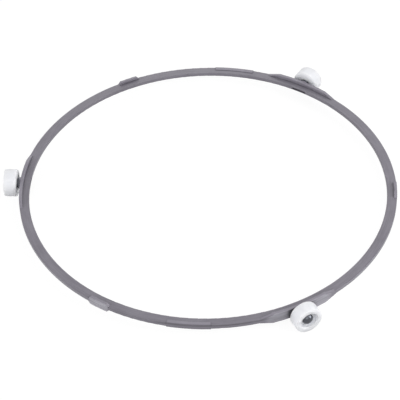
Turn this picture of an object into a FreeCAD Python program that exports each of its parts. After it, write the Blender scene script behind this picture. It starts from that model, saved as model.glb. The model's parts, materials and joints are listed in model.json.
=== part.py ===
import FreeCAD, Part
import math
import os
import Sketcher

# A roller ring that carries the glass tray of a microwave oven: one moulded ring with stub axles
# on its outside, and a roller that snaps over the head of each axle.
# Origin at the centre of the ring, at the height of the axles, with +Z up. Lengths in millimetres.

doc = FreeCAD.newDocument("RollerRing")

# Driving dimensions
SIZES = {
    # Band of the ring, a flat section with rounded edges
    "ring_outer_diameter": 200.0,
    "band_width": 5.2,
    "band_height": 2.1,
    "band_edge_round": 0.3,
    # Rollers, spaced evenly around the ring
    "roller_count": 3,
    "roller_diameter": 14.5,
    "roller_width": 6.75,
    "roller_edge_round": 0.6,
    "recess_diameter": 9.3,
    "recess_depth": 2.0,
    "recess_edge_round": 0.4,
    "bore_chamfer": 0.2,
    # Stub axles, from the wall outwards
    "shoulder_diameter": 6.1,
    "shoulder_length": 1.45,
    "journal_diameter": 5.0,
    "journal_clearance": 0.05,
    "roller_inner_gap": 0.3,
    "roller_end_play": 0.1,
    "head_diameter": 5.6,
    "head_rim_length": 0.7,
    "head_dome_height": 1.5,
    # Walls that carry the axles, and lugs between them, both flush with the outside of the band
    "wall_thickness": 1.7,
    "wall_edge_round": 0.3,
    "axle_wall_height": 6.2,
    "axle_wall_top_length": 28.0,
    "axle_wall_foot_length": 42.0,
    "lug_height": 5.3,
    "lug_top_length": 9.6,
    "lug_foot_length": 12.2,
    # Raised pads on the band, each at its own place around the ring
    "pad_width": 2.4,
    "pad_rise": 0.4,
    "pad_length": 22.0,
    "rear_pad_azimuth": 84.0,
    "front_pad_azimuth": 267.4,
    # Relief slots in the inner edge, behind the axles
    "slot_length": 8.4,
    "slot_height": 1.0,
    "slot_depth": 1.0,
    # How far a cut reaches past what it cuts
    "cut_allowance": 1.0,
}

sheet = doc.addObject("Spreadsheet::Sheet", "Sizes")
for row, (alias, value) in enumerate(SIZES.items(), start=1):
    sheet.set(f"A{row}", alias)
    sheet.set(f"B{row}", str(value))
    sheet.setAlias(f"B{row}", alias)
doc.recompute()

# Radii of the ring, and places along an axle measured from the centre of the ring
RING_RADIUS = "(Sizes.ring_outer_diameter / 2)"
BAND_INNER_RADIUS = f"({RING_RADIUS} - Sizes.band_width)"
WALL_INNER_RADIUS = f"({RING_RADIUS} - Sizes.wall_thickness)"
PAD_INNER_RADIUS = f"({RING_RADIUS} - Sizes.pad_width)"
SLOT_FLOOR_RADIUS = f"({BAND_INNER_RADIUS} + Sizes.slot_depth)"
SLOT_MOUTH_RADIUS = f"({BAND_INNER_RADIUS} - Sizes.cut_allowance)"
AXLE_ROOT = f"({RING_RADIUS} - Sizes.wall_thickness / 2)"
SHOULDER_END = f"({RING_RADIUS} + Sizes.shoulder_length)"
ROLLER_INNER_FACE = f"({SHOULDER_END} + Sizes.roller_inner_gap)"
RECESS_FLOOR = "(Sizes.roller_width - Sizes.recess_depth)"
HEAD_START = f"({ROLLER_INNER_FACE} + {RECESS_FLOOR} + Sizes.roller_end_play)"
HEAD_RIM_END = f"({HEAD_START} + Sizes.head_rim_length)"
HEAD_TIP = f"({HEAD_RIM_END} + Sizes.head_dome_height)"
BORE_RADIUS = "(Sizes.journal_diameter / 2 + Sizes.journal_clearance)"
PAD_HEIGHT = "(Sizes.band_height + 2 * Sizes.pad_rise)"

# The first axle points along -X, and each lug stands halfway between two axles
FULL_TURN = "360"
FIRST_AXLE_AZIMUTH = "180"
FIRST_LUG_AZIMUTH = f"({FIRST_AXLE_AZIMUTH} + {FULL_TURN} / Sizes.roller_count / 2)"

UP = FreeCAD.Vector(0, 0, 1)
QUARTER_TURN = math.pi / 2

# How near two lengths are when they count as the same
SAME_LENGTH = 1e-6

# How sketches name their origin, their horizontal axis and the points of a curve
ORIGIN = (-1, 1)
H_AXIS = ORIGIN[0]
START, END, CENTRE = range(1, 4)


def number(expression):
    """The present value of an expression in the sheet's sizes."""
    return float(sheet.evalExpression(expression))


def minus(expression):
    return f"-({expression})"


def origin_feature(body, role):
    return next(item for item in body.Origin.OriginFeatures if item.Role == role)


def new_sketch(body, name, role, azimuth="0"):
    """A sketch on one of the body's upright origin planes, turned about the vertical axis."""
    sketch = body.newObject("Sketcher::SketchObject", name)
    sketch.AttachmentSupport = [(origin_feature(body, role), "")]
    sketch.MapMode = "FlatFace"
    turn = FreeCAD.Rotation(FreeCAD.Vector(0, 1, 0), number(azimuth))
    sketch.AttachmentOffset = FreeCAD.Placement(FreeCAD.Vector(), turn)
    sketch.setExpression("AttachmentOffset.Rotation.Angle", azimuth)
    return sketch


def dimension(sketch, kind, *where, size):
    """Add a dimension to a sketch and tie it to an expression."""
    index = sketch.addConstraint(Sketcher.Constraint(kind, *where, number(size)))
    sketch.setExpression(f"Constraints[{index}]", size)


def place_point(sketch, point, x, y):
    """Hold a point of a sketch by its distances from the origin."""
    dimension(sketch, "DistanceX", *ORIGIN, *point, size=x)
    dimension(sketch, "DistanceY", *ORIGIN, *point, size=y)


def lines_through(sketch, corners, closed=True):
    """Straight lines through the corners in turn. Returns the first and the last line."""
    points = [FreeCAD.Vector(number(x), number(y)) for x, y in corners]
    first = sketch.GeometryCount
    for start, end in zip(points, points[1:]):
        sketch.addGeometry(Part.LineSegment(start, end))
    if closed:
        sketch.addGeometry(Part.LineSegment(points[-1], points[0]))
    last = sketch.GeometryCount - 1
    for line in range(first, last):
        sketch.addConstraint(Sketcher.Constraint("Coincident", line, END, line + 1, START))
    for line, (x, y) in zip(range(first, last + 1), corners):
        place_point(sketch, (line, START), x, y)
    if closed:
        sketch.addConstraint(Sketcher.Constraint("Coincident", last, END, first, START))
    else:
        place_point(sketch, (last, END), *corners[-1])
    return first, last


def rounded_section(sketch, inner, outer, height, rounding):
    """A rectangle between two radii, centred on the mid-plane, with rounded corners."""
    low, high, radius = number(inner), number(outer), number(rounding)
    half = number(height) / 2
    ends = [
        ((low + radius, -half), (high - radius, -half)),
        ((high, radius - half), (high, half - radius)),
        ((high - radius, half), (low + radius, half)),
        ((low, half - radius), (low, radius - half)),
    ]
    centres = [
        (high - radius, radius - half),
        (high - radius, half - radius),
        (low + radius, half - radius),
        (low + radius, radius - half),
    ]
    sides = []
    for start, end in ends:
        line = Part.LineSegment(FreeCAD.Vector(*start), FreeCAD.Vector(*end))
        sides.append(sketch.addGeometry(line))
    corners = []
    angle = -QUARTER_TURN
    for centre in centres:
        circle = Part.Circle(FreeCAD.Vector(*centre), UP, radius)
        corners.append(sketch.addGeometry(Part.ArcOfCircle(circle, angle, angle + QUARTER_TURN)))
        angle += QUARTER_TURN
    bottom, outside, top, inside = sides
    for side, corner, following in zip(sides, corners, sides[1:] + sides[:1]):
        sketch.addConstraint(Sketcher.Constraint("Tangent", side, END, corner, START))
        sketch.addConstraint(Sketcher.Constraint("Tangent", corner, END, following, START))
    for side in (bottom, top):
        sketch.addConstraint(Sketcher.Constraint("Horizontal", side))
    for side in (outside, inside):
        sketch.addConstraint(Sketcher.Constraint("Vertical", side))
    for corner in corners[1:]:
        sketch.addConstraint(Sketcher.Constraint("Equal", corners[0], corner))
    dimension(sketch, "Radius", corners[0], size=rounding)
    dimension(sketch, "DistanceX", *ORIGIN, inside, START, size=inner)
    dimension(sketch, "DistanceX", *ORIGIN, outside, START, size=outer)
    dimension(sketch, "DistanceY", *ORIGIN, bottom, START, size=f"-{height} / 2")
    dimension(sketch, "DistanceY", *ORIGIN, top, START, size=f"{height} / 2")


def revolve(body, kind, name, sketch, axis, angle=FULL_TURN):
    """Turn a sketch about one of its own axes, evenly to both sides of its plane."""
    feature = body.newObject(kind, name)
    feature.Profile = sketch
    feature.ReferenceAxis = (sketch, [axis])
    feature.Midplane = True
    feature.setExpression("Angle", angle)
    return feature


def check_cut(body, feature, volume_before):
    """Recompute, and make sure that a cut has taken something away."""
    doc.recompute()
    if body.Shape.Volume >= volume_before:
        raise RuntimeError(f"{feature.Name} cuts nothing")


def repeat_around(body, name, originals):
    """One copy of the features for each roller, around the vertical axis."""
    pattern = body.newObject("PartDesign::PolarPattern", name)
    pattern.Originals = originals
    pattern.Axis = (origin_feature(body, "Z_Axis"), [""])
    pattern.Angle = number(FULL_TURN)
    pattern.setExpression("Occurrences", "Sizes.roller_count")
    body.Tip = pattern
    doc.recompute()


def arc_angle(length, radius):
    """The angle that a chord of some length takes up at a radius."""
    return f"2 * asin({length} / 2 / {radius})"


def add_walls(body, name, azimuth, height, top_length, foot_length):
    """Short walls on the outer edge of the band, with ends that slope down to it."""
    section = new_sketch(body, f"{name}_section", "XZ_Plane", azimuth)
    rounded_section(section, WALL_INNER_RADIUS, RING_RADIUS, height, "Sizes.wall_edge_round")
    angle = arc_angle(foot_length, WALL_INNER_RADIUS)
    wall = revolve(body, "PartDesign::Revolution", f"{name}_wall", section, "V_Axis", angle)
    doc.recompute()
    volume = body.Shape.Volume
    ends = new_sketch(body, f"{name}_ends", "YZ_Plane", azimuth)
    past_foot = f"({foot_length} / 2 + Sizes.cut_allowance)"
    past_top = f"({height} / 2 + Sizes.cut_allowance)"
    slope = [
        (f"{top_length} / 2", f"{height} / 2"),
        (f"{foot_length} / 2", "Sizes.band_height / 2"),
        (past_foot, "Sizes.band_height / 2"),
        (past_foot, past_top),
        (f"{top_length} / 2", past_top),
    ]
    lines_through(ends, slope)
    lines_through(ends, [(minus(x), y) for x, y in slope])
    lines_through(ends, [(x, minus(y)) for x, y in slope])
    lines_through(ends, [(minus(x), minus(y)) for x, y in slope])
    cut = body.newObject("PartDesign::Pocket", f"{name}_slopes")
    cut.Profile = ends
    cut.Reversed = True
    cut.setExpression("Length", f"{RING_RADIUS} + Sizes.cut_allowance")
    check_cut(body, cut, volume)
    repeat_around(body, f"{name}_walls", [wall, cut])


def add_axles(body):
    """Stub axles: a shoulder, a journal for the roller, and a domed head to snap it over."""
    profile = new_sketch(body, "axle_profile", "XZ_Plane", FIRST_AXLE_AZIMUTH)
    first, last = lines_through(profile, [
        (HEAD_TIP, "0"),
        (AXLE_ROOT, "0"),
        (AXLE_ROOT, "Sizes.shoulder_diameter / 2"),
        (SHOULDER_END, "Sizes.shoulder_diameter / 2"),
        (SHOULDER_END, "Sizes.journal_diameter / 2"),
        (HEAD_START, "Sizes.journal_diameter / 2"),
        (HEAD_START, "Sizes.head_diameter / 2"),
        (HEAD_RIM_END, "Sizes.head_diameter / 2"),
    ], closed=False)
    rim = number("Sizes.head_diameter / 2")
    rise = number("Sizes.head_dome_height")
    radius = (rim ** 2 + rise ** 2) / (2 * rise)
    centre = FreeCAD.Vector(number(HEAD_TIP) - radius, 0)
    sweep = math.atan2(rim, number(HEAD_RIM_END) - centre.x)
    circle = Part.Circle(centre, UP, radius)
    dome = profile.addGeometry(Part.ArcOfCircle(circle, 0, sweep))
    profile.addConstraint(Sketcher.Constraint("Coincident", dome, START, first, START))
    profile.addConstraint(Sketcher.Constraint("Coincident", dome, END, last, END))
    profile.addConstraint(Sketcher.Constraint("PointOnObject", dome, CENTRE, H_AXIS))
    axle = revolve(body, "PartDesign::Revolution", "axle", profile, "H_Axis")
    repeat_around(body, "axles", [axle])


def add_pad(body, name, azimuth):
    """A long raised pad over and under the outer part of the band."""
    section = new_sketch(body, f"{name}_section", "XZ_Plane", azimuth)
    rounding = "min(Sizes.band_edge_round; Sizes.pad_rise)"
    rounded_section(section, PAD_INNER_RADIUS, RING_RADIUS, PAD_HEIGHT, rounding)
    angle = arc_angle("Sizes.pad_length", RING_RADIUS)
    revolve(body, "PartDesign::Revolution", name, section, "V_Axis", angle)
    doc.recompute()


def add_slots(body):
    """Relief slots in the inner edge of the band, behind the axles."""
    volume = body.Shape.Volume
    section = new_sketch(body, "slot_section", "XZ_Plane", FIRST_AXLE_AZIMUTH)
    half_height = "Sizes.slot_height / 2"
    lines_through(section, [
        (SLOT_MOUTH_RADIUS, minus(half_height)),
        (SLOT_FLOOR_RADIUS, minus(half_height)),
        (SLOT_FLOOR_RADIUS, half_height),
        (SLOT_MOUTH_RADIUS, half_height),
    ])
    angle = arc_angle("Sizes.slot_length", BAND_INNER_RADIUS)
    slot = revolve(body, "PartDesign::Groove", "slot", section, "V_Axis", angle)
    check_cut(body, slot, volume)
    repeat_around(body, "slots", [slot])


def make_ring():
    """The moulded ring with its walls, axles, lugs, pads and slots."""
    body = doc.addObject("PartDesign::Body", "Ring")
    body.Label = "roller_ring"
    section = new_sketch(body, "band_section", "XZ_Plane")
    rounded_section(section, BAND_INNER_RADIUS, RING_RADIUS, "Sizes.band_height", "Sizes.band_edge_round")
    revolve(body, "PartDesign::Revolution", "band", section, "V_Axis")
    doc.recompute()
    add_walls(body, "axle", FIRST_AXLE_AZIMUTH, "Sizes.axle_wall_height",
              "Sizes.axle_wall_top_length", "Sizes.axle_wall_foot_length")
    add_walls(body, "lug", FIRST_LUG_AZIMUTH, "Sizes.lug_height",
              "Sizes.lug_top_length", "Sizes.lug_foot_length")
    add_pad(body, "rear_pad", "Sizes.rear_pad_azimuth")
    add_pad(body, "front_pad", "Sizes.front_pad_azimuth")
    add_slots(body)
    add_axles(body)
    return body


def circles(feature, radius, place):
    """Names of the round edges of a feature that have a radius and a place along the axle."""
    shape = feature.Shape
    wanted = (number(radius), number(place))
    names = []
    for index, edge in enumerate(shape.Edges, start=1):
        if not isinstance(edge.Curve, Part.Circle):
            continue
        found = (edge.Curve.Radius, edge.Curve.Center.x)
        if all(math.isclose(a, b, abs_tol=SAME_LENGTH) for a, b in zip(found, wanted)):
            names.append(f"Edge{index}")
    return names


def soften(body, kind, name, base, edges, parameter, size):
    """Round or bevel edges of the last feature of a body."""
    feature = body.newObject(kind, name)
    feature.Base = (base, edges)
    feature.setExpression(parameter, size)
    doc.recompute()
    return feature


def make_roller(index):
    """One roller, with its inner face at its own origin and its axle along its own X axis."""
    body = doc.addObject("PartDesign::Body", f"Roller{index + 1}")
    body.Label = f"roller_{index + 1}"
    profile = new_sketch(body, f"roller_profile_{index + 1}", "XZ_Plane")
    tread = "Sizes.roller_diameter / 2"
    recess = "Sizes.recess_diameter / 2"
    outer_face = "Sizes.roller_width"
    lines_through(profile, [
        ("0", BORE_RADIUS),
        (RECESS_FLOOR, BORE_RADIUS),
        (RECESS_FLOOR, recess),
        (outer_face, recess),
        (outer_face, tread),
        ("0", tread),
    ])
    blank = revolve(body, "PartDesign::Revolution", f"roller_blank_{index + 1}", profile, "H_Axis")
    doc.recompute()
    edges = circles(blank, tread, "0") + circles(blank, tread, outer_face)
    rounded = soften(body, "PartDesign::Fillet", f"tread_round_{index + 1}", blank, edges,
                     "Radius", "Sizes.roller_edge_round")
    edges = circles(rounded, recess, RECESS_FLOOR) + circles(rounded, recess, outer_face)
    dished = soften(body, "PartDesign::Fillet", f"recess_round_{index + 1}", rounded, edges,
                    "Radius", "Sizes.recess_edge_round")
    edges = circles(dished, BORE_RADIUS, "0") + circles(dished, BORE_RADIUS, RECESS_FLOOR)
    soften(body, "PartDesign::Chamfer", f"bore_bevel_{index + 1}", dished, edges,
           "Size", "Sizes.bore_chamfer")
    azimuth = f"({FIRST_AXLE_AZIMUTH} + {FULL_TURN} * {index} / Sizes.roller_count)"
    body.Placement.Rotation = FreeCAD.Rotation(UP, number(azimuth))
    body.setExpression("Placement.Rotation.Angle", azimuth)
    body.setExpression("Placement.Base.x", f"{ROLLER_INNER_FACE} * cos({azimuth})")
    body.setExpression("Placement.Base.y", f"{ROLLER_INNER_FACE} * sin({azimuth})")
    return body


pieces = [make_ring()]
for roller in range(int(number("Sizes.roller_count"))):
    pieces.append(make_roller(roller))
doc.recompute()

for item in doc.Objects:
    if "Invalid" in item.State or "Error" in item.State:
        raise RuntimeError(f"{item.Name} failed: {item.State}")
for piece in pieces:
    if piece.Shape.isNull() or not piece.Shape.isValid():
        raise RuntimeError(f"{piece.Label} has no valid shape")

os.makedirs("parts", exist_ok=True)
for piece in pieces:
    piece.Shape.exportStep(f"parts/{piece.Label}.step")
    print(f"{piece.Label}: {len(piece.Shape.Solids)} solid, {piece.Shape.Volume:.1f} mm3")
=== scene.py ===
import json
import math
from types import SimpleNamespace

import bpy
from mathutils import Matrix, Vector


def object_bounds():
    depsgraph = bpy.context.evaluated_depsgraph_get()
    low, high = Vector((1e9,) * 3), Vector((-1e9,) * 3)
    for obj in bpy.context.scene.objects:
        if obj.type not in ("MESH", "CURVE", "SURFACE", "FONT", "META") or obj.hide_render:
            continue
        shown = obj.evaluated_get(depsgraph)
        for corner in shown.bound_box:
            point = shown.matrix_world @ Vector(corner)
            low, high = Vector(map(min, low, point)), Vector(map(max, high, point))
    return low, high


# Looks of a microwave roller ring: satin grey plastic on the ring, white plastic on its rollers.
# Lengths are in metres, angles in degrees and colours in linear light.

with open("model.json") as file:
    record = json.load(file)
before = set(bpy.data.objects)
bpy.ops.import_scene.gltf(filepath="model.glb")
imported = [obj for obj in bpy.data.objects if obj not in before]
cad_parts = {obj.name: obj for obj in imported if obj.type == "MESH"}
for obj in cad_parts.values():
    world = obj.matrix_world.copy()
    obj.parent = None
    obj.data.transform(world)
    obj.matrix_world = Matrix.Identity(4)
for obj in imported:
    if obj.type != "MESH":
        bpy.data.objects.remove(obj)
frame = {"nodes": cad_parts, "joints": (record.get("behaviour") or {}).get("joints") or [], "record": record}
CAD_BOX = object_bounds()
scene = bpy.context.scene
scene.view_settings.view_transform = "Standard"

# Sizes: the ring reaches furthest along Y, the rollers stand on the floor, and each has a wall
RING_RADIUS = CAD_BOX[1].y
FLOOR_HEIGHT = CAD_BOX[0].z
ROLLER_RADIUS = -FLOOR_HEIGHT
BAND_TOP = 0.00105
WALL_COUNT = len(frame["joints"])

# Camera of the photograph, with its direction seen from the centre of the ring
CAMERA_AZIMUTH = 273.65
CAMERA_ELEVATION = 43.009
CAMERA_ROLL = -1.159
CAMERA_DISTANCE = 0.857735
CAMERA_LENS = 145.288
CAMERA_SENSOR = 36.0
CAMERA_SHIFT = (-0.01981, -0.03187)

# Lamps: azimuth, elevation, size, and strength, where 1 lights a facing surface to its own colour
LAMPS = {
    "left_softbox": (205.0, 13.5, 0.5, 0.4),
    "right_softbox": (340.0, 45.0, 0.5, 0.24),
    "front_softbox": (285.0, 30.0, 0.6, 0.16),
    "low_right_softbox": (344.0, 16.0, 0.4, 0.3),
    "back_softbox": (92.0, 27.0, 0.5, 0.155),
}
LAMP_DISTANCE = 0.9

# World: light from all around, and how bright it is where it is seen
WORLD_COLOUR = (1.0, 1.0, 1.0, 1.0)
WORLD_STRENGTH = 0.51
WORLD_STRENGTH_SEEN = 1.0

# Floor: what it sends back to the object, and its shade and glow where it is seen
FLOOR_SIZE = 6.0
FLOOR_BOUNCE = 0.5
FLOOR_SHADED = 0.14
FLOOR_GLOW = 0.9

# Both plastics: refraction, and the parts of a noise's values that are spread over a whole mask
PLASTIC_IOR = 1.49
NOISE_MIDDLE = 0.5
NOISE_RANGE = (0.3, 0.7)
ROUGHNESS_NOISE_RANGE = (0.25, 0.75)

# Ring: colours, and how much paler its walls, lugs and pads are than its band
RING_COLOUR = (0.155, 0.144, 0.174)
RING_COLOUR_PALE = (0.217, 0.205, 0.239)
# Painted light on outer faces
RING_COLOUR_PAINTED_LIGHT = (0.44, 0.433, 0.478)
# Painted shade along the front and on the edges of the band
RING_COLOUR_PAINTED_SHADE = (0.05, 0.046, 0.056)
# Painted highlight on the upper edges of walls and lugs
RING_COLOUR_PAINTED_HIGHLIGHT = (0.4, 0.39, 0.42)
# Painted shade in crevices
RING_COLOUR_CREVICE_SHADE = (0.012, 0.011, 0.014)
AXLE_COLOUR = (0.088, 0.092, 0.105)
RAISED_GAIN = 1.28

# Ring: noises as scale, detail and roughness, with flow lines in cells per radian and per metre
RING_CLOUDS = (70.0, 3.0, 0.6)
RING_GRAIN = (2600.0, 2.0, 0.6)
FLOW_LINES = (1.0, 3.0, 0.55)
FLOW_CELLS_AROUND = 9.0
FLOW_CELLS_ACROSS = 2100.0
FLOW_SHARE_OF_TONE = 0.6

# Ring: finish
RING_ROUGHNESS = (0.38, 0.52)
RING_BUMP_STRENGTH = 0.35
RING_BUMP_DEPTH = 0.00004
RING_GRAIN_SHARE = 0.6
AXLE_ROUGHNESS = 0.05

# Ring: rise over the top of the band, or outset from its outer edge, over which a mask grows
RAISED_RISE = (0.00005, 0.0003)
# Rise at which edges turn from painted shade to painted highlight
HIGHLIGHT_RISE = (0.0016, 0.002)
# Where the painted shade along the front lies
DARK_LINE_RISE = (-0.0006, -0.0002)
DARK_LINE_OUTSET = (-0.0008, -0.0004)
AXLE_OUTSET = (0.0002, 0.0008)

# Ring: painted light on outer faces, which fades between angles from the middle of a wall, a lug or the
# front
WALL_PAINTED_LIGHT = 0.6
WALL_ANGLES = (9.0, 11.5)
LUG_PAINTED_LIGHT = 0.9
LUG_ANGLES = (2.8, 3.6)
BAND_PAINTED_LIGHT = 0.2
FRONT_AZIMUTH = 274.0
FRONT_ANGLES = (25.8, 45.6)
PAINTED_LIGHT_PATCHES = (0.35, 1.05)
OUTWARD_FACING = (0.4, 0.8)

# Ring: painted shade at the front, on edges and in crevices, which is darkest on outer faces
DARK_LINE_ANGLES = (11.0, 18.0)
DARK_LINE_SHARE = 0.55
ROUNDED_TILT = (0.08, 0.22)
ROUNDED_FACING = (0.0, 0.3)
ROUNDED_SHARE = 0.4
EDGE_RADIUS = 0.0005
EDGE_BEND = (0.01, 0.1)
EDGE_SAMPLES = 6
EDGE_SHARE = 0.5
CREVICE_DISTANCE = 0.005
CREVICE_SAMPLES = 8
CREVICE_OPENNESS = (0.35, 0.9)
CREVICE_SHARES = (0.27, 0.9)

# Rollers: colours, and how far light spreads under the surface
ROLLER_COLOUR = (0.8, 0.81, 0.855)
ROLLER_COLOUR_PALE = (0.835, 0.845, 0.885)
ROLLER_COLOUR_SCUFF = (0.7, 0.712, 0.745)
ROLLER_GLOW_DEPTH = 0.0055

# Rollers: noises as scale, detail and roughness, with scuffs in cells per radian and per metre
ROLLER_CLOUDS = (220.0, 3.0, 0.6)
ROLLER_GRAIN = (3200.0, 2.0, 0.55)
SCUFFS = (1.0, 3.0, 0.6)
SCUFF_CELLS_AROUND = 3.0
SCUFF_CELLS_ACROSS = 2600.0
SCUFF_RANGE = (0.5, 0.8)
SCUFF_SHARE = 0.35
TREAD_OUTSET = (-0.00055, -0.00015)

# Rollers: finish
ROLLER_ROUGHNESS = (0.36, 0.5)
ROLLER_BUMP_STRENGTH = 0.25
ROLLER_BUMP_DEPTH = 0.00003
ROLLER_GRAIN_SHARE = 0.5


def direction(azimuth, elevation):
    """Unit vector from the centre of the ring, from angles in degrees."""
    a, e = math.radians(azimuth), math.radians(elevation)
    return Vector((math.cos(e) * math.cos(a), math.cos(e) * math.sin(a), math.sin(e)))


def cosines(angles, times=1):
    """Cosines of multiples of two angles in degrees, the lower cosine first."""
    return sorted(math.cos(math.radians(times * angle)) for angle in angles)


def roller_azimuths():
    """Each roller's direction from the centre of the ring, which is that of its axle."""
    bodies = frame["record"]["behaviour"]["bodies"]
    azimuths = {}
    for joint in frame["joints"]:
        axle = Vector(joint["axis"])
        for node in bodies[joint["child"]]:
            azimuths[node] = math.degrees(math.atan2(axle.y, axle.x))
    return azimuths


class Graph:
    """A node tree with short ways to add and join nodes."""

    def __init__(self, tree):
        self.tree = tree
        tree.nodes.clear()

    def put(self, socket, value):
        """Set an input to a value, or link another node's output to it."""
        if isinstance(value, bpy.types.NodeSocket):
            self.tree.links.new(value, socket)
        else:
            socket.default_value = value

    def node(self, kind, settings=None, **inputs):
        """Add a node. Inputs go by socket name with _ for spaces, or by number after an i."""
        made = self.tree.nodes.new(kind)
        for name, value in (settings or {}).items():
            setattr(made, name, value)
        for name, value in inputs.items():
            numbered = name[0] == "i" and name[1:].isdigit()
            self.put(made.inputs[int(name[1:]) if numbered else name.replace("_", " ")], value)
        return made

    def maths(self, operation, first, second=0.0):
        return self.node("ShaderNodeMath", {"operation": operation}, i0=first, i1=second).outputs[0]

    def product(self, first, *others):
        """Multiply values."""
        for other in others:
            first = self.maths("MULTIPLY", first, other)
        return first

    def largest(self, first, *others):
        """The largest of some values."""
        for other in others:
            first = self.maths("MAXIMUM", first, other)
        return first

    def between(self, share, first, second):
        """Go from the first value to the second by a share."""
        # A mix node takes values at its sockets 2 and 3
        made = self.node("ShaderNodeMix", {"data_type": "FLOAT"}, i0=share, i2=first, i3=second)
        return made.outputs[0]

    def mixed(self, share, first, second):
        """Go from the first colour to the second by a share."""
        made = self.node("ShaderNodeMix", {"data_type": "RGBA"}, i0=share)
        # A mix node takes colours at its sockets 6 and 7
        for socket, value in ((made.inputs[6], first), (made.inputs[7], second)):
            self.put(socket, (*value, 1.0) if isinstance(value, tuple) else value)
        return made.outputs[2]

    def ranged(self, value, low, high, to_low=0.0, to_high=1.0):
        """Smoothly take a value from one range to another."""
        made = self.node("ShaderNodeMapRange", {"interpolation_type": "SMOOTHSTEP"}, Value=value,
                         From_Min=low, From_Max=high, To_Min=to_low, To_Max=to_high)
        return made.outputs[0]

    def vector(self, operation, **inputs):
        """Outputs of a sum on vectors, by the names Vector and Value."""
        return self.node("ShaderNodeVectorMath", {"operation": operation}, **inputs).outputs

    def dot(self, first, second):
        return self.vector("DOT_PRODUCT", i0=first, i1=second)["Value"]

    def split(self, vector):
        return self.node("ShaderNodeSeparateXYZ", None, Vector=vector).outputs

    def joined(self, x, y, z):
        return self.node("ShaderNodeCombineXYZ", None, X=x, Y=y, Z=z).outputs[0]

    def object_place(self):
        """A spot's place in the shared frame at rest."""
        return self.node("ShaderNodeTexCoord").outputs["Object"]

    def noise(self, vector, settings, distance=None):
        """Noise over a vector, in four dimensions where a distance is given too."""
        scale, detail, roughness = settings
        dimensions = "3D" if distance is None else "4D"
        made = self.node("ShaderNodeTexNoise", {"noise_dimensions": dimensions},
                         Vector=vector, Scale=scale, Detail=detail, Roughness=roughness)
        if distance is not None:
            self.put(made.inputs["W"], distance)
        return made.outputs["Fac"]


def new_material(name):
    material = bpy.data.materials.new(name)
    material.use_nodes = True
    return material, Graph(material.node_tree)


def dress(node, material):
    """Give a CAD node one material."""
    slots = frame["nodes"][node].data.materials
    slots.clear()
    slots.append(material)


def uneven_roughness(graph, lines, grain, roughness):
    """Roughness that follows the lines and the grain of a surface."""
    unevenness = graph.maths("ADD", lines, graph.maths("SUBTRACT", grain, NOISE_MIDDLE))
    return graph.ranged(unevenness, *ROUGHNESS_NOISE_RANGE, *roughness)


def bumped(graph, relief, strength, depth):
    """Normal of a surface with a fine relief."""
    made = graph.node("ShaderNodeBump", None, Strength=strength, Distance=depth, Height=relief)
    return made.outputs[0]


def surface(graph, colour, roughness, normal, glow_depth=0.0, shine=0.0):
    """Finish a plastic that light enters as far as its glow depth. Full shine makes it a mirror."""
    shader = graph.node("ShaderNodeBsdfPrincipled", None, Base_Color=colour, Roughness=roughness,
                        Normal=normal, IOR=PLASTIC_IOR, Metallic=shine)
    if glow_depth:
        shader.inputs["Subsurface Weight"].default_value = 1.0
        shader.inputs["Subsurface Radius"].default_value = (1.0, 1.0, 1.0)
        shader.inputs["Subsurface Scale"].default_value = glow_depth
    graph.node("ShaderNodeOutputMaterial", None, Surface=shader.outputs[0])


def ring_places(graph):
    """Where a spot of the ring lies and which way it faces."""
    place = graph.object_place()
    x, y, z = graph.split(place)
    flat = graph.joined(x, y, 0.0)
    radius = graph.vector("LENGTH", i0=flat)["Value"]
    outward = graph.vector("NORMALIZE", i0=flat)["Vector"]
    normal = graph.node("ShaderNodeNewGeometry").outputs["Normal"]
    return SimpleNamespace(
        place=place, x=x, y=y, z=z, radius=radius, outward=outward, normal=normal,
        rise=graph.maths("SUBTRACT", graph.maths("ABSOLUTE", z), BAND_TOP),
        rise_on_top=graph.maths("SUBTRACT", z, BAND_TOP),
        outset=graph.maths("SUBTRACT", radius, RING_RADIUS),
        facing=graph.dot(outward, normal),
        ahead=graph.dot(outward, direction(FRONT_AZIMUTH, 0.0)),
    )


def flow_lines(graph, at):
    """Noise in cells that are long around the ring and short across it, as the plastic flowed."""
    outward = graph.split(at.outward)
    cells = graph.joined(
        graph.product(outward["X"], FLOW_CELLS_AROUND),
        graph.product(outward["Y"], FLOW_CELLS_AROUND),
        graph.product(at.radius, FLOW_CELLS_ACROSS),
    )
    return graph.noise(cells, FLOW_LINES, graph.product(at.z, FLOW_CELLS_ACROSS))


def painted_light_on_outer_faces(graph, at, lines):
    """Painted light on outer faces, in patches: on walls, on lugs, and on the band away from the front."""
    # This cosine is 1 in the middle of each lug and -1 in the middle of each wall
    azimuth = graph.maths("ARCTAN2", at.y, at.x)
    at_lugs = graph.maths("COSINE", graph.product(azimuth, WALL_COUNT))
    at_walls = graph.product(at_lugs, -1.0)
    lit_share = graph.largest(
        graph.ranged(at_walls, *cosines(WALL_ANGLES, WALL_COUNT), 0.0, WALL_PAINTED_LIGHT),
        graph.ranged(at_lugs, *cosines(LUG_ANGLES, WALL_COUNT), 0.0, LUG_PAINTED_LIGHT),
        graph.ranged(at.ahead, *cosines(FRONT_ANGLES), BAND_PAINTED_LIGHT, 0.0),
    )
    patches = graph.ranged(lines, *NOISE_RANGE, *PAINTED_LIGHT_PATCHES)
    return graph.product(lit_share, graph.ranged(at.facing, *OUTWARD_FACING), patches)


def painted_front_shade_line(graph, at):
    """Painted shade: a dark line along the upper outer edge of the band at the front."""
    return graph.product(
        graph.ranged(at.ahead, *cosines(DARK_LINE_ANGLES)),
        graph.ranged(at.outset, *DARK_LINE_OUTSET),
        graph.ranged(at.rise_on_top, *DARK_LINE_RISE),
        DARK_LINE_SHARE,
    )


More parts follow.
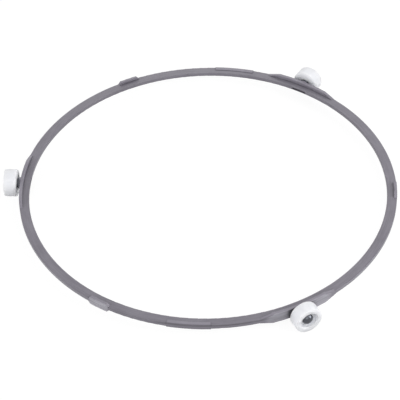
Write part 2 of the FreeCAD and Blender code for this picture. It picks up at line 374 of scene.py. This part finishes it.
def edges(graph, at, raised):
    """Where painted shade and painted highlights go: the rounded outer edges of the band, and every sharp
    edge.
    """
    # The square of the normal's Z times the rest of 1 is largest where a face tilts by 45 degrees
    upright = graph.split(at.normal)["Z"]
    level = graph.product(upright, upright)
    tilt = graph.product(level, graph.maths("SUBTRACT", 1.0, level))
    rounded = graph.product(
        graph.ranged(tilt, *ROUNDED_TILT),
        graph.maths("SUBTRACT", 1.0, raised),
        graph.ranged(at.facing, *ROUNDED_FACING, 0.0, ROUNDED_SHARE),
    )
    # A bevelled normal leaves the true one near a sharp edge
    bevel = graph.node("ShaderNodeBevel", {"samples": EDGE_SAMPLES}, Radius=EDGE_RADIUS).outputs[0]
    bend = graph.maths("SUBTRACT", 1.0, graph.dot(bevel, at.normal))
    return graph.product(graph.largest(rounded, graph.ranged(bend, *EDGE_BEND)), EDGE_SHARE)


def crevices(graph, at):
    """Painted shade in places that little light reaches."""
    openness = graph.node("ShaderNodeAmbientOcclusion", {"samples": CREVICE_SAMPLES},
                          Distance=CREVICE_DISTANCE).outputs["AO"]
    return graph.product(
        graph.ranged(openness, *CREVICE_OPENNESS, 1.0, 0.0),
        graph.ranged(at.facing, *OUTWARD_FACING, *CREVICE_SHARES),
    )


def ring_plastic():
    """Satin grey plastic with dark shiny axles, painted light on outer faces, painted shade along the front,
    on the band's rims and in hollows, and painted highlights on the upper rims of walls and lugs.
    """
    material, graph = new_material("ring_plastic")
    at = ring_places(graph)
    lines = flow_lines(graph, at)
    clouds = graph.noise(at.place, RING_CLOUDS)
    grain = graph.noise(at.place, RING_GRAIN)
    raised = graph.ranged(at.rise, *RAISED_RISE)
    axle = graph.ranged(at.outset, *AXLE_OUTSET)

    tone = graph.ranged(graph.between(FLOW_SHARE_OF_TONE, clouds, lines), *NOISE_RANGE)
    colour = graph.mixed(tone, RING_COLOUR, RING_COLOUR_PALE)
    gain = graph.between(raised, 1.0, RAISED_GAIN)
    colour = graph.vector("SCALE", i0=colour, Scale=gain)["Vector"]
    # Painted light on outer faces, in patches
    colour = graph.mixed(painted_light_on_outer_faces(graph, at, lines), colour, RING_COLOUR_PAINTED_LIGHT)
    # Painted shade along the upper outer edge at the front
    colour = graph.mixed(painted_front_shade_line(graph, at), colour, RING_COLOUR_PAINTED_SHADE)
    # Painted shade on the edges of the band, painted highlight on the edges of walls and lugs
    highlit = graph.ranged(at.rise, *HIGHLIGHT_RISE)
    edge_shade_and_highlight = graph.mixed(highlit, RING_COLOUR_PAINTED_SHADE, RING_COLOUR_PAINTED_HIGHLIGHT)
    colour = graph.mixed(edges(graph, at, raised), colour, edge_shade_and_highlight)
    # Painted shade in crevices and in the gaps beside the rollers
    colour = graph.mixed(crevices(graph, at), colour, RING_COLOUR_CREVICE_SHADE)
    colour = graph.mixed(axle, colour, AXLE_COLOUR)

    roughness = uneven_roughness(graph, lines, grain, RING_ROUGHNESS)
    roughness = graph.between(axle, roughness, AXLE_ROUGHNESS)
    relief = graph.between(RING_GRAIN_SHARE, lines, grain)
    strength = graph.between(axle, RING_BUMP_STRENGTH, 0.0)
    normal = bumped(graph, relief, strength, RING_BUMP_DEPTH)
    surface(graph, colour, roughness, normal, shine=axle)
    return material


def roller_plastic(name, azimuth):
    """Smooth white plastic with faint scuffs around the tread."""
    material, graph = new_material(f"{name}_plastic")
    place = graph.object_place()
    turned = graph.node("ShaderNodeVectorRotate", {"rotation_type": "Z_AXIS"}, Vector=place,
                        Angle=math.radians(-azimuth)).outputs[0]
    along, y, z = graph.split(turned)
    flat = graph.joined(0.0, y, z)
    radius = graph.vector("LENGTH", i0=flat)["Value"]
    outward = graph.split(graph.vector("NORMALIZE", i0=flat)["Vector"])

    # Cells of the scuffs are long around the roller and short along its axle
    cells = graph.joined(
        graph.product(along, SCUFF_CELLS_ACROSS),
        graph.product(outward["Y"], SCUFF_CELLS_AROUND),
        graph.product(outward["Z"], SCUFF_CELLS_AROUND),
    )
    scuffs = graph.noise(cells, SCUFFS, graph.product(radius, SCUFF_CELLS_ACROSS))
    clouds = graph.noise(place, ROLLER_CLOUDS)
    grain = graph.noise(place, ROLLER_GRAIN)

    tone = graph.ranged(clouds, *NOISE_RANGE)
    colour = graph.mixed(tone, ROLLER_COLOUR, ROLLER_COLOUR_PALE)
    tread = graph.ranged(graph.maths("SUBTRACT", radius, ROLLER_RADIUS), *TREAD_OUTSET)
    scuffed = graph.product(graph.ranged(scuffs, *SCUFF_RANGE), tread, SCUFF_SHARE)
    colour = graph.mixed(scuffed, colour, ROLLER_COLOUR_SCUFF)

    roughness = uneven_roughness(graph, scuffs, grain, ROLLER_ROUGHNESS)
    relief = graph.between(ROLLER_GRAIN_SHARE, scuffs, grain)
    normal = bumped(graph, relief, ROLLER_BUMP_STRENGTH, ROLLER_BUMP_DEPTH)
    surface(graph, colour, roughness, normal, ROLLER_GLOW_DEPTH)
    return material


def seen_directly(graph):
    """1 for rays that show the background: from the camera, or by way of gloss or glass."""
    rays = graph.node("ShaderNodeLightPath").outputs
    return graph.largest(rays["Is Camera Ray"], rays["Is Glossy Ray"], rays["Is Transmission Ray"])


def make_floor():
    """White floor that keeps a faint shadow."""
    bpy.ops.mesh.primitive_plane_add(size=FLOOR_SIZE, location=(0, 0, FLOOR_HEIGHT))
    floor = bpy.context.object
    floor.name = "floor"
    material, graph = new_material("floor_paper")
    shown = seen_directly(graph)
    bounce = graph.between(shown, FLOOR_BOUNCE, FLOOR_SHADED)
    matt = graph.node("ShaderNodeBsdfDiffuse", None, Color=graph.joined(bounce, bounce, bounce))
    glow = graph.node("ShaderNodeEmission", None, Strength=graph.product(shown, FLOOR_GLOW))
    both = graph.node("ShaderNodeAddShader", None, i0=matt.outputs[0], i1=glow.outputs[0])
    graph.node("ShaderNodeOutputMaterial", None, Surface=both.outputs[0])
    floor.data.materials.append(material)


def make_world():
    """Even light from all around, white where it is seen."""
    world = bpy.data.worlds.new("studio")
    world.use_nodes = True
    scene.world = world
    graph = Graph(world.node_tree)
    strength = graph.between(seen_directly(graph), WORLD_STRENGTH, WORLD_STRENGTH_SEEN)
    light = graph.node("ShaderNodeBackground", None, Color=WORLD_COLOUR, Strength=strength)
    graph.node("ShaderNodeOutputWorld", None, Surface=light.outputs[0])


def make_lamps():
    """Square area lamps around the ring that face its centre."""
    for name, (azimuth, elevation, size, strength) in LAMPS.items():
        data = bpy.data.lights.new(name, "AREA")
        data.shape = "SQUARE"
        data.size = size
        data.energy = strength * (math.pi * LAMP_DISTANCE) ** 2
        lamp = bpy.data.objects.new(name, data)
        towards = direction(azimuth, elevation)
        lamp.location = towards * LAMP_DISTANCE
        lamp.rotation_mode = "QUATERNION"
        lamp.rotation_quaternion = towards.to_track_quat("Z", "Y")
        scene.collection.objects.link(lamp)


def make_camera():
    """The photograph's camera, rolled about its line of sight."""
    back = direction(CAMERA_AZIMUTH, CAMERA_ELEVATION)
    level = Vector((0, 0, 1)).cross(back).normalized()
    upright = back.cross(level)
    roll = math.radians(CAMERA_ROLL)
    right = level * math.cos(roll) + upright * math.sin(roll)
    up = upright * math.cos(roll) - level * math.sin(roll)
    data = bpy.data.cameras.new("camera")
    data.sensor_width = CAMERA_SENSOR
    data.lens = CAMERA_LENS
    data.shift_x, data.shift_y = CAMERA_SHIFT
    camera = bpy.data.objects.new("camera", data)
    turn = Matrix((right, up, back)).transposed().to_4x4()
    camera.matrix_world = Matrix.Translation(back * CAMERA_DISTANCE) @ turn
    scene.collection.objects.link(camera)
    scene.camera = camera


make_camera()
make_floor()
make_world()
make_lamps()
dress("roller_ring", ring_plastic())
for node, azimuth in roller_azimuths().items():
    dress(node, roller_plastic(node, azimuth))
